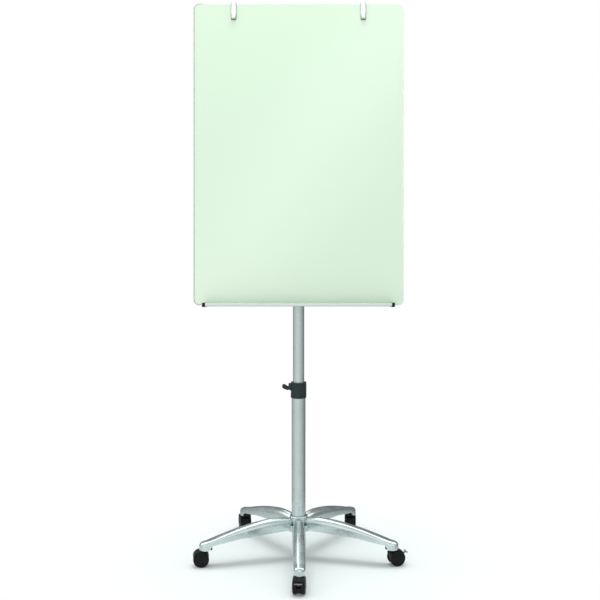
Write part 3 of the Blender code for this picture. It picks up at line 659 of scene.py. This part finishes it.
def build_tray():
    """The extrusion, its trough painted dark as painted shade, and a cap on each end."""
    front, floor = -TRAY_DEPTH, -TRAY_SINK
    lip, nose = front + LIP_T, LIP_T / 2
    rear_in = BOARD_BACK + 2 * GAP
    rear = [(rear_in + TRAY_T, floor), (rear_in + TRAY_T, TRAY_REAR_UP), (rear_in, TRAY_REAR_UP)]
    outline = soften(rear, 0.0007, 3)[2:]
    outline += [(rear_in, floor + TRAY_T + 0.001), (rear_in - 0.001, floor + TRAY_T)]
    top = floor + TRAY_T
    for groove in TRAY_GROOVES:
        outline += [(groove + GROOVE_HALF_W, top), (groove, top - GROOVE_DEPTH)]
        outline.append((groove - GROOVE_HALF_W, top))
    outline += arc((lip + TROUGH_R, top + TROUGH_R), TROUGH_R, 270.0, 180.0, 4)
    outline += arc((front + nose, LIP_TOP - nose), nose, 0.0, 180.0, 14)
    outline += arc((front + nose, floor + nose), nose, 180.0, 270.0, 7)
    tray = prism_x(outline, TRAY_L / 2)

    def in_trough(face):
        spot, near = face.center, 0.0002
        inside = lip - near < spot.y < rear_in + near and spot.z > floor + TRAY_T / 2
        return inside and len(face.vertices) == 4

    # the trough's faces take the painted shade
    two_finishes(tray, TRAY_METAL, TRAY_PAINTED_SHADE, in_trough)
    piece("tray_extrusion", tray, None, "mast", ["marker_tray"], BOARD_PLACE)

    low, back, face_y = floor - CAP_WALL - GAP, -2 * GAP, front - CAP_WALL - GAP
    end = soften([(back, low), (back, CAP_TOP), (face_y, CAP_TOP), (face_y, low)], CAP_ROUND, 7)
    for side, sign in (("left", -1.0), ("right", 1.0)):
        reach = (CAP_PLATE + CAP_RIM) / 2
        cap = prism_x(end, reach)
        inside = sorted((-sign * (reach + 0.01), sign * (reach - CAP_PLATE)))
        cut(cap, block((inside[0], front - GAP, floor - GAP), (inside[1], 0.05, 0.05)))
        bevel(cap, 0.0007, 3)
        across = sign * (TRAY_L / 2 + GAP + CAP_PLATE - reach)
        place = BOARD_PLACE @ Matrix.Translation((across, 0.0, 0.0))
        piece(f"tray_end_{side}", cap, BLACK, "mast", [f"tray_cap_{side}"], place)


def build_rails():
    front, back, half = BOARD_BACK + GAP, BOARD_BACK + GAP + RAIL_DEPTH, RAIL_H / 2
    inner = [(front, half - RAIL_T), (back - RAIL_T, half - RAIL_T), (back - RAIL_T, RAIL_T - half)]
    inner.append((front, RAIL_T - half))
    outer = soften([(front, -half), (back, -half), (back, half), (front, half)], 0.0022, 5, closed=False)
    inner = soften(inner, 0.0008, 3, closed=False)
    for level, height in RAIL_LEVELS.items():
        rail = bevel(prism_x(outer + inner, RAIL_L / 2), 0.0003, 2, 60.0)
        place = BOARD_PLACE @ Matrix.Translation((0.0, 0.0, height))
        piece(f"cross_rail_{level}", rail, ENAMEL, "mast", [f"rail_{level}"], place)


# ---- post
def tube(radius, low, high):
    inner = radius - TUBE_WALL
    return lathe(soften([(radius, low), (radius, high), (inner, high), (inner, low)], 0.0005, 2), 96)


def build_post():
    low, high = extent("upper_tube", 2)
    made = tube(UPPER_R, low, high)
    piece("post_upper", made, TUBE_METAL, "mast", ["upper_tube"], POST_PLACE)
    cap_low, cap_high = extent("tube_cap", 2)
    fit = UPPER_R - TUBE_WALL
    line = [(0.0, cap_low), (fit, cap_low), (fit, high + GAP), (UPPER_R, high + GAP)]
    line += [(UPPER_R, cap_high), (0.0, cap_high)]
    piece("post_cap", lathe(soften(line, 0.0016, 4, closed=False), 72), BLACK, "mast", ["tube_cap"],
          POST_PLACE)
    low, high = extent("lower_tube", 2)
    made = tube(LOWER_R, low, high)
    piece("post_lower", made, TUBE_METAL, "base", ["lower_tube"], POST_PLACE)


def build_saddles():
    """Each saddle: a plate on a rail, a sleeve round the upper tube, a rib between, and its screw."""
    plate_w, plate_t, plate_h = SADDLE_PLATE
    for level in ("lower", "middle"):
        depth = BOARD_BACK + 2 * GAP + RAIL_DEPTH
        seat = BOARD_PLACE @ Vector((0.0, depth, RAIL_LEVELS[level])) - POST
        half_w, half_h = plate_w / 2, plate_h / 2
        corners = [(-half_w, -half_h), (half_w, -half_h), (half_w, half_h), (-half_w, half_h)]
        spot = Matrix.Translation(seat) @ lean @ Matrix.Translation((0.0, plate_t / 2, 0.0))
        plate = prism_y(soften(corners, SADDLE_CORNER, 6), plate_t / 2, spot)
        low, high = seat.z - SADDLE_H / 2, seat.z + SADDLE_H / 2
        outline = [(0.0, low), (SADDLE_R, low), (SADDLE_R, high), (0.0, high)]
        sleeve = lathe(soften(outline, 0.002, 4, closed=False), 72)
        rib = block((-SADDLE_RIB / 2, seat.y + plate_t / 2, low + SADDLE_RIB_INSET),
                    (SADDLE_RIB / 2, -GAP, high - SADDLE_RIB_INSET))
        join(sleeve, plate, rib)
        cut(sleeve, rod(UPPER_R + GAP, low - 0.01, high + 0.01, 72))
        bevel(sleeve, 0.0009, 3)
        name = f"saddle_{level}"
        piece(f"clamp_saddle_{level}", sleeve, GREY_COAT, "mast", [name], POST_PLACE)

        head, tip = SADDLE_R + GAP, UPPER_R + GAP
        line = [(0.0, tip), (SCREW_R, tip), (SCREW_R, head), (SCREW_HEAD_R, head)]
        rim = [(SCREW_HEAD_R, head), (SCREW_HEAD_R, head + SCREW_HEAD_H), (0.0, head + SCREW_HEAD_H)]
        screw = lathe(line + soften(rim, 0.0012, 4, closed=False)[1:], 36)
        cut(screw, rod(SCREW_KEY_R, head + SCREW_KEY_FLOOR, head + 0.01, 6))
        place = POST_PLACE @ Matrix.Translation((0.0, 0.0, seat.z)) @ Y_AXIS
        piece(f"saddle_bolt_{level}", screw, ZINC, "mast", [f"saddle_screw_{level}"], place)


def build_clamp():
    """The collar with its ears, and the lever that turns between them."""
    bore, step = UPPER_R + GAP, LOWER_R + GAP
    tube_top = extent("lower_tube", 2)[1] + GAP
    line = arc((COLLAR_R - COLLAR_ROUND, COLLAR_LOW + COLLAR_ROUND), COLLAR_ROUND, -90.0, 0.0, 6)
    rim, mouth = COLLAR_TOP_ROUND, COLLAR_BORE_ROUND
    line += arc((COLLAR_R - rim, COLLAR_TOP - rim), rim, 0.0, 90.0, 4)
    line += arc((bore + mouth, COLLAR_TOP - mouth), mouth, 90.0, 180.0, 3)
    line += [(bore, tube_top), (step, tube_top), (step, COLLAR_LOW)]
    collar = lathe(line, 96)
    lug = [(-LUG_REACH, LUG_LOW + LUG_SLOPE), (-LUG_REACH, LUG_TOP)]
    lug += [(-LOWER_R, LUG_TOP), (-LOWER_R, LUG_LOW)]
    join(collar, prism_y(soften(lug, 0.0022, 4), LUG_HALF_W))
    window = LEVER_HALF_W + GAP
    cut(
        collar,
        block((-0.05, -window, LUG_LOW - 0.01), (-LOWER_R, window, COLLAR_TOP + 0.01)),
        rod(bore, tube_top, COLLAR_TOP + 0.01, 96),
    )
    bevel(collar, 0.0005, 2, 50.0)
    piece("height_clamp", collar, COLLAR, "base", ["clamp_collar"], POST_PLACE)

    knuckle = arc((0.0, 0.0), LEVER_KNUCKLE, -90.0, 90.0, 12)
    arm = [(-0.0080, 0.0048), (-0.0179, 0.0113), (-0.0246, 0.0098)]  # its top edge, outwards
    arm += [(-0.0252, 0.0004), (-0.0200, -0.0032), (-0.0075, -0.0078)]
    lever = prism_y(knuckle + soften(arm, 0.0014, 5, closed=False), LEVER_HALF_W)
    bevel(lever, 0.0009, 3, 40.0)
    place = Matrix.Translation(JOINTS["lever_clamp"]["pos_m"])
    piece("clamp_handle", lever, COLLAR, "lever", ["clamp_lever"], place)


# ---- base
front_stem = Vector(JOINTS["front_swivel"]["pos_m"]) - POST
STAR_TURN = math.atan2(front_stem.y, front_stem.x) + math.pi / 2
STAR_PLACE = POST_PLACE @ Matrix.Rotation(STAR_TURN, 4, "Z")


def leg_shape(distance):
    """Crown height, lower edge and half width of a leg at a distance from the post."""
    rows = LEG_SHAPE
    at = min(max(1, sum(row[0] < distance for row in rows)), len(rows) - 1)
    low, high = rows[at - 1], rows[at]
    share = (distance - low[0]) / (high[0] - low[0])
    found = []
    for column in (1, 2, 3):
        before, after = rows[max(at - 2, 0)], rows[min(at + 1, len(rows) - 1)]
        span = high[0] - low[0]
        slope_in = (high[column] - before[column]) / (high[0] - before[0]) * span
        slope_out = (after[column] - low[column]) / (after[0] - low[0]) * span
        s2, s3 = share**2, share**3
        value = (2 * s3 - 3 * s2 + 1) * low[column] + (s3 - 2 * s2 + share) * slope_in
        value += (3 * s2 - 2 * s3) * high[column] + (s3 - s2) * slope_out
        found.append(value)
    return found


def leg_section(distance, crown, low, half, steps=32):
    """A section across a leg: straight sides, soft lower edges, round shoulders and an arched crown."""
    side, soft = low + (crown - low) * SHOULDER, min(0.0012, half / 3)
    points = [(half - soft, low), (half - soft / 4, low + soft / 4), (half, low + soft)]
    points.append((half, (low + side) / 2))
    mirrored = [(-y, z) for y, z in points[::-1]]
    for step in range(steps + 1):
        angle = math.pi * step / steps
        across, up = math.cos(angle), math.sin(angle)
        across = math.copysign(abs(across) ** SQUARENESS, across)
        points.append((half * across, side + (crown - side) * abs(up) ** SQUARENESS))
    return [(distance, y, z) for y, z in points + mirrored]


def leg_loops(shrink, low_extra, start, reach, steps=28):
    """Sections along a leg, out to the rounded end of its boss; a hollow is shrunk and reaches lower."""
    loops, last = [], LEG_SHAPE[-1][0]
    for step in range(steps + 1):
        distance = start + (last - start) * step / steps
        crown, low, half = leg_shape(distance)
        loops.append(leg_section(distance, crown - shrink, low - low_extra, half - shrink))
    crown, low, half = leg_shape(last)
    boss_low = BOSS_LOW - low_extra
    for distance in (last + BOSS_START, last + BOSS_START + BOSS_EASE, STEM_CIRCLE_R):
        fall = BOSS_SLOPE * (distance - last)
        loops.append(leg_section(distance, crown - fall - shrink, boss_low, reach))
    for degrees in (12, 24, 35, 45, 54, 62, 69, 75, 80, 84):
        share = math.sin(math.radians(degrees))
        distance = STEM_CIRCLE_R + reach * share
        past = max(0.0, reach * (share - 1.0) + TIP_ROUND)
        fall = BOSS_SLOPE * (distance - last) + TIP_ROUND - math.sqrt(TIP_ROUND**2 - past**2)
        width = reach * math.cos(math.radians(degrees))
        loops.append(leg_section(distance, crown - fall - shrink, boss_low, width))
    return loops


def build_star():
    """The cast star: a hub and web, five hollow legs, a notch between each two, and the hub's bolt."""
    hub = [(0.0, HUB_LOW), (HUB_R, HUB_LOW), (HUB_R, HUB_TOP), (0.0, HUB_TOP)]
    star = lathe(soften(hub, HUB_ROUND, 4, closed=False), 72)
    web = rod(HUB_WEB_R, HUB_WEB_LOW, HUB_WEB_TOP, 72)
    legs, hollows = [], []
    for step in range(5):
        turn = Matrix.Rotation(math.radians(72.0 * step - 90.0), 4, "Z")
        legs.append(loft(leg_loops(0.0, 0.0, LEG_START, BOSS_R), turn))
        inside = leg_loops(LEG_WALL, HOLLOW_EXTRA, HOLLOW_START, BOSS_R - LEG_WALL)
        hollows.append(loft(inside, turn))
    join(star, web, *legs)
    cut(star, *hollows)
    scallops = []
    for step in range(5):
        turn = Matrix.Rotation(math.radians(72.0 * step - 54.0), 4, "Z")
        spot = turn @ Matrix.Translation((SCALLOP_AT, 0.0, 0.0))
        scallops.append(rod(SCALLOP_R, HUB_LOW - 0.01, HUB_TOP + 0.02, 32, spot))
    cut(star, *scallops)
    cut(star, rod(HUB_BORE_R, extent("lower_tube", 2)[0] - GAP, HUB_TOP + 0.02, 72),
        rod(BOLT_BORE_R, HUB_LOW - 0.02, HUB_TOP, 32))
    piece("star_casting", star, CAST, "base", ["star_base"], STAR_PLACE, sharp=34.0)

    low, high = extent("hub_bolt", 2)
    seat = HUB_LOW - GAP
    head = rod(BOLT_HEAD_R, low, seat, 6)
    join(head, rod(BOLT_R, seat - 0.001, high, 32))
    bevel(head, 0.0005, 2)
    piece("hub_hex_bolt", head, ZINC, "base", ["hub_bolt"], POST_PLACE)


# ---- casters
def build_hood(braked):
    """A caster's hood: a cover over both wheels, a web between them, a ridge and a neck for the stem."""
    centre = (TRAIL, WHEEL_R)
    first, last = HOOD_START[braked], HOOD_END
    cover = arc(centre, HOOD_R, first, last, 22) + arc(centre, HOOD_IN_R, last, first, 22)
    hood = prism_y(cover, HOOD_HALF_W)
    web = arc(centre, HOOD_R - 0.0008, 62.0, 150.0, 16) + arc(centre, WEB_R, 180.0, 355.0, 32)
    join(hood, prism_y(web + arc(centre, WEB_NOTCH_R, 5.0, 45.0, 6), WEB_HALF_W))
    ridge = arc(centre, HOOD_R + RIDGE_H, first + 4.0, last - 4.0, 22)
    ridge += arc(centre, HOOD_IN_R + 0.0006, last - 4.0, first + 4.0, 22)
    join(hood, prism_y(ridge, RIDGE_HALF_W))
    join(hood, rod(NECK_R, NECK_LOW, BOSS_LOW - 2 * GAP, 48))
    axle = Matrix.Translation((TRAIL, 0.0, WHEEL_R)) @ Y_AXIS
    for inner in (-1.0, 1.0):
        low, high = sorted((inner * WEB_HALF_W, inner * 0.03))
        cut(hood, rod(HOOD_IN_R, low, high, 72, axle))
    cut(hood, rod(AXLE_BORE_R, -0.03, 0.03, 24, axle), rod(STEM_BORE_R, 0.030, 0.07, 24))
    return bevel(hood, 0.00045, 2, 40.0)


def wheel_line():
    """Half a section of a wheel about Z, its closed face up: rounded tread, grooved disc, domed cap."""
    dish, bead, face = WHEEL_R - 0.0075, WHEEL_R - 0.0035, WHEEL_OUT - 0.0022
    line = [(0.0, face), (AXLE_BORE_R, face), (AXLE_BORE_R, WHEEL_IN), (dish, WHEEL_IN)]
    line += [(dish, WHEEL_IN + 0.0012), (bead, WHEEL_IN + 0.0012), (bead, WHEEL_IN)]
    line += arc((WHEEL_R - 0.0014, WHEEL_IN + 0.0014), 0.0014, -90.0, 0.0, 5)
    line += arc((WHEEL_R - 0.0036, WHEEL_OUT - 0.0044), 0.0036, 0.0, 78.0, 8)
    line += [(WHEEL_R - inset, WHEEL_OUT - depth) for inset, depth in
             ((0.0046, 0.0005), (0.0052, 0.0010), (0.0066, 0.0011), (0.0074, 0.0006))]
    line += [(radius, WHEEL_OUT - depth) for radius, depth in
             ((0.0085, 0.0002), (0.0080, 0.0007), (0.0066, 0.0007), (0.0060, 0.0002), (0.0035, 0.0))]
    return line + [(0.0, WHEEL_OUT)]


def build_pedal():
    """A brake pedal about its hinge: a knuckle between the wheels and a ribbed pad beyond the treads."""
    length, width, thickness = PEDAL_PAD
    root, tip, half = PEDAL_NECK, PEDAL_NECK + length, width / 2
    knuckle = arc((0.0, 0.0), PEDAL_KNUCKLE, 110.0, 290.0, 12)
    tongue = knuckle + [(root + thickness / 2, -thickness / 3), (root + thickness / 2, thickness / 3)]
    corners = soften([(root, -half), (tip, -half), (tip, half), (root, half)], 0.0016, 5)
    pad = prism_z(corners, -thickness / 2, thickness / 2)
    join(pad, prism_y(tongue, PEDAL_ARM_HALF_W))
    side, top = half - PEDAL_RIB_INSET, thickness / 2 + PEDAL_RIB_H
    for step in range(2):
        x = root + 0.0010 + PEDAL_RIB_STEP * step
        join(pad, block((x, -side, thickness / 3), (x + PEDAL_RIB_W, side, top)))
    return bevel(pad, 0.0004, 2, 40.0)


def build_caster(name):
    """One caster on its swivel's axis, and the socket in the leg that its stem turns in."""
    stem = Vector(JOINTS[f"{name}_swivel"]["pos_m"])
    hub = Vector(JOINTS[f"{name}_wheel_a_spin"]["pos_m"])
    trail = math.atan2(hub.y - stem.y, hub.x - stem.x)
    place = Matrix.Translation((stem.x, stem.y, 0.0)) @ Matrix.Rotation(trail, 4, "Z")
    braked = name in BRAKED
    piece(f"hood_{name}", build_hood(braked), BLACK, f"{name}_caster", [f"caster_{name}_hood"],
          place)
    axle = place @ Matrix.Translation((TRAIL, 0.0, WHEEL_R))
    for side, sign in (("a", 1.0), ("b", -1.0)):
        turn = Matrix.Rotation(math.radians(90.0 * sign), 4, "X")
        wheel = lathe(wheel_line(), 72)
        node = f"caster_{name}_wheel_{side}"
        piece(f"wheel_{name}_{side}", wheel, WHEEL, f"{name}_wheel_{side}", [node],
              axle @ turn, sharp=38.0)
    if braked:
        hinge = Vector(JOINTS[f"{name}_brake_press"]["pos_m"])
        tilt = Matrix.Rotation(math.radians(-PEDAL_TILT), 4, "Y")
        spot = Matrix.Translation(hinge) @ Matrix.Rotation(trail, 4, "Z") @ tilt
        piece(f"pedal_{name}", build_pedal(), PEDAL, f"{name}_brake", [f"caster_{name}_pedal"],
              spot)

    outward = math.atan2(stem.y - POST.y, stem.x - POST.x)
    low = extent(f"caster_{name}_socket", 2)[0]
    line = [(0.0, low), (PLUG_R, low), (PLUG_R, PLUG_TOP), (0.0, PLUG_TOP)]
    plug = lathe(soften(line, 0.001, 3, closed=False), 64)
    far, near, half = -LOBE_REACH, -PLUG_R / 2, LOBE_HALF_W
    lobe = soften([(far, -half), (near, -half), (near, half), (far, half)], LOBE_CORNER, 7)
    join(plug, prism_z(lobe, low, LOBE_TOP))
    cut(plug, rod(STEM_BORE_R, 0.0, STEM_BORE_TOP, 32))
    bevel(plug, 0.0006, 3, 40.0)
    spot = Matrix.Translation((stem.x, stem.y, 0.0)) @ Matrix.Rotation(outward, 4, "Z")
    piece(f"socket_{name}", plug, BLACK, "base", [f"caster_{name}_socket"], spot)


# ---- nodes whose shape is kept
def keep_nodes():
    """Gives the frame's small, mostly hidden parts their finishes."""
    kept = {"guide_bush": BLACK, "tube_plug": ZINC, "clamp_pin": ZINC, "clamp_shoe": RUBBER}
    kept.update({f"hook_liner_{side}": RUBBER for side in ("left", "right")})
    for name in CASTERS:
        kept[f"caster_{name}_stem"] = kept[f"caster_{name}_axle"] = ZINC
    for node, finish in kept.items():
        slots = frame["nodes"][node].data.materials
        slots.clear()
        slots.append(finish)


# ---- stage
CAMERA_FROM_POST, CAMERA_DOWN, FOCAL_LENGTH = (0.0045, -3.2045, 1.1785), 6.36, 62.06
FLOOR_COLOUR, FLOOR_R, FLOOR_T = (0.53, 0.578, 0.572), 9.0, 0.004
FADE_START, FADE_END = 0.22, 0.66  # where the floor fades to plain white, from the middle
# brightness of the horizon, and how it changes along X, Y and Z
HORIZON, HORIZON_X, HORIZON_Y, HORIZON_UP = 0.50, -0.13, -0.31, 0.14
# two strip lights overhead: their brightness, and where each fades in and out, in Y / Z and X / Z
STRIP = 2.7
CROSS_FRONT, CROSS_BACK, CROSS_ENDS = (-0.10, 0.04), (0.30, 0.54), (1.60, 2.20)  # the one along X
LONG_LEFT, LONG_RIGHT, LONG_ENDS = (-0.22, -0.14), (-0.06, 0.04), (1.60, 2.20)  # the one along Y
PANEL_LOW, PANEL_FULL = 0.02, 0.12  # a bright wall behind the viewer: its heights over distance
PANEL, BAND, BAND_SLOPE, BAND_MIDDLE, BAND_HALF = 0.38, 0.22, 0.71, 0.255, 0.11
PANEL_FADE, LEAST = (0.55, 0.9), 0.05  # how squarely it must lie ahead; the least divisor


class Studio(Graph):
    """The nodes of a stage material, and how bright the studio is in a direction."""

    def __init__(self, holder):
        super().__init__(holder)
        self.nodes.clear()
        self.place = self.nodes.new("ShaderNodeTexCoord")
        self.seen = self.nodes.new("ShaderNodeLightPath").outputs["Is Camera Ray"]

    def horizon(self, x, y):
        side = self.maths("MULTIPLY_ADD", x, HORIZON_X, HORIZON)
        return self.maths("MULTIPLY_ADD", y, HORIZON_Y, side)

    def window(self, value, rise, fall):
        """1 between a rise and a fall, 0 outside them."""
        return self.product(self.step(value, *rise), self.step(value, *fall, 1.0, 0.0))

    def sky(self, x, y, z):
        """The studio round the easel: a dim horizon, two strip lights, a wall with a lighter diagonal."""
        high = self.maths("MAXIMUM", z, LEAST)
        level = self.maths("MULTIPLY_ADD", high, HORIZON_UP, self.horizon(x, y))
        along, aside = self.maths("DIVIDE", y, high), self.maths("DIVIDE", x, high)
        reach = self.step(self.maths("ABSOLUTE", aside), *CROSS_ENDS, 1.0, 0.0)
        cross = self.product(self.window(along, CROSS_FRONT, CROSS_BACK), reach)
        reach = self.window(along, (0.0, CROSS_BACK[1]), LONG_ENDS)
        long = self.product(self.window(aside, LONG_LEFT, LONG_RIGHT), reach)
        level = self.maths("MULTIPLY_ADD", self.maths("MAXIMUM", cross, long), STRIP, level)
        ahead = self.maths("MAXIMUM", self.product(y, -1.0), LEAST)
        across, up = self.maths("DIVIDE", x, ahead), self.maths("DIVIDE", z, ahead)
        wall = self.product(self.step(up, PANEL_LOW, PANEL_FULL), self.step(ahead, *PANEL_FADE))
        middle = self.maths("MULTIPLY_ADD", up, BAND_SLOPE, -BAND_SLOPE * BAND_MIDDLE)
        offset = self.maths("ABSOLUTE", self.maths("SUBTRACT", across, middle))
        band = self.step(offset, 0.0, BAND_HALF, BAND, 0.0)
        return self.maths("ADD", level, self.product(wall, self.maths("ADD", band, PANEL)))

    def emit(self, kind, level=1.0):
        """White light of the given strength."""
        return self.add(kind, Color=(1.0, 1.0, 1.0, 1.0), Strength=level).outputs[0]

    def mix(self, share, first, second):
        made = self.add("ShaderNodeMixShader", Fac=share)
        self.links.new(first, made.inputs[1])
        self.links.new(second, made.inputs[2])
        return made.outputs[0]

    def finish(self, surface, kind):
        self.links.new(surface, self.nodes.new(kind).inputs["Surface"])


def build_floor():
    """A pale floor that takes shadows near the easel; further out it fades into the studio."""
    floor = lathe([(0.0, -FLOOR_T), (FLOOR_R, -FLOOR_T), (FLOOR_R, 0.0), (0.0, 0.0)], 96)
    floor.name = "floor"
    made = bpy.data.materials.new("floor")
    studio = Studio(made)
    x, y, _ = studio.split(studio.place.outputs["Object"])
    far = studio.radius(x, y)
    safe = studio.maths("MAXIMUM", far, 0.1)
    level = studio.horizon(studio.maths("DIVIDE", x, safe), studio.maths("DIVIDE", y, safe))
    kind = "ShaderNodeEmission"
    glow = studio.mix(studio.seen, studio.emit(kind, level), studio.emit(kind))
    matt = studio.add("ShaderNodeBsdfDiffuse", Color=(*FLOOR_COLOUR, 1.0))
    studio.finish(studio.mix(studio.step(far, FADE_START, FADE_END), matt.outputs[0], glow),
                  "ShaderNodeOutputMaterial")
    floor.data.materials.append(made)


def build_world():
    """Plain white to look at; for light and reflections, the studio."""
    world = bpy.data.worlds.new("studio")
    bpy.context.scene.world = world
    studio = Studio(world)
    level = studio.sky(*studio.split(studio.place.outputs["Generated"]))
    kind = "ShaderNodeBackground"
    glow = studio.mix(studio.seen, studio.emit(kind, level), studio.emit(kind))
    studio.finish(glow, "ShaderNodeOutputWorld")


def softbox(name, at, target, size, power):
    """A rectangular light, itself not mirrored in anything."""
    light = bpy.data.lights.new(name, "AREA")
    light.shape, light.size, light.size_y = "RECTANGLE", *size
    light.energy = power
    made = bpy.data.objects.new(name, light)
    bpy.context.scene.collection.objects.link(made)
    aim = (Vector(target) - Vector(at)).to_track_quat("-Z", "Y").to_matrix().to_4x4()
    made.matrix_world = Matrix.Translation(at) @ aim
    made.visible_glossy = False


def build_studio():
    build_floor()
    build_world()
    softbox("top_box", (0.0, 0.25, 3.3), (0.0, 0.0, 0.0), (2.0, 2.4), 84.0)
    softbox("front_fill", (-0.8, -4.2, 1.5), (0.0, 0.0, 1.2), (2.0, 2.0), 30.0)


def build_camera():
    lens = bpy.data.cameras.new("camera")
    lens.sensor_width, lens.lens = 36.0, FOCAL_LENGTH
    made = bpy.data.objects.new("camera", lens)
    bpy.context.scene.collection.objects.link(made)
    made.location = POST + Vector(CAMERA_FROM_POST)
    made.rotation_euler = (math.radians(90.0 - CAMERA_DOWN), 0.0, 0.0)
    bpy.context.scene.camera = made


build_camera()
build_board()
for hook_side in ("left", "right"):
    build_hook(hook_side)
build_tray()
build_rails()
build_post()
build_saddles()
build_clamp()
build_star()
for caster in CASTERS:
    build_caster(caster)
keep_nodes()
build_studio()
bpy.context.scene.view_settings.view_transform = "Standard"
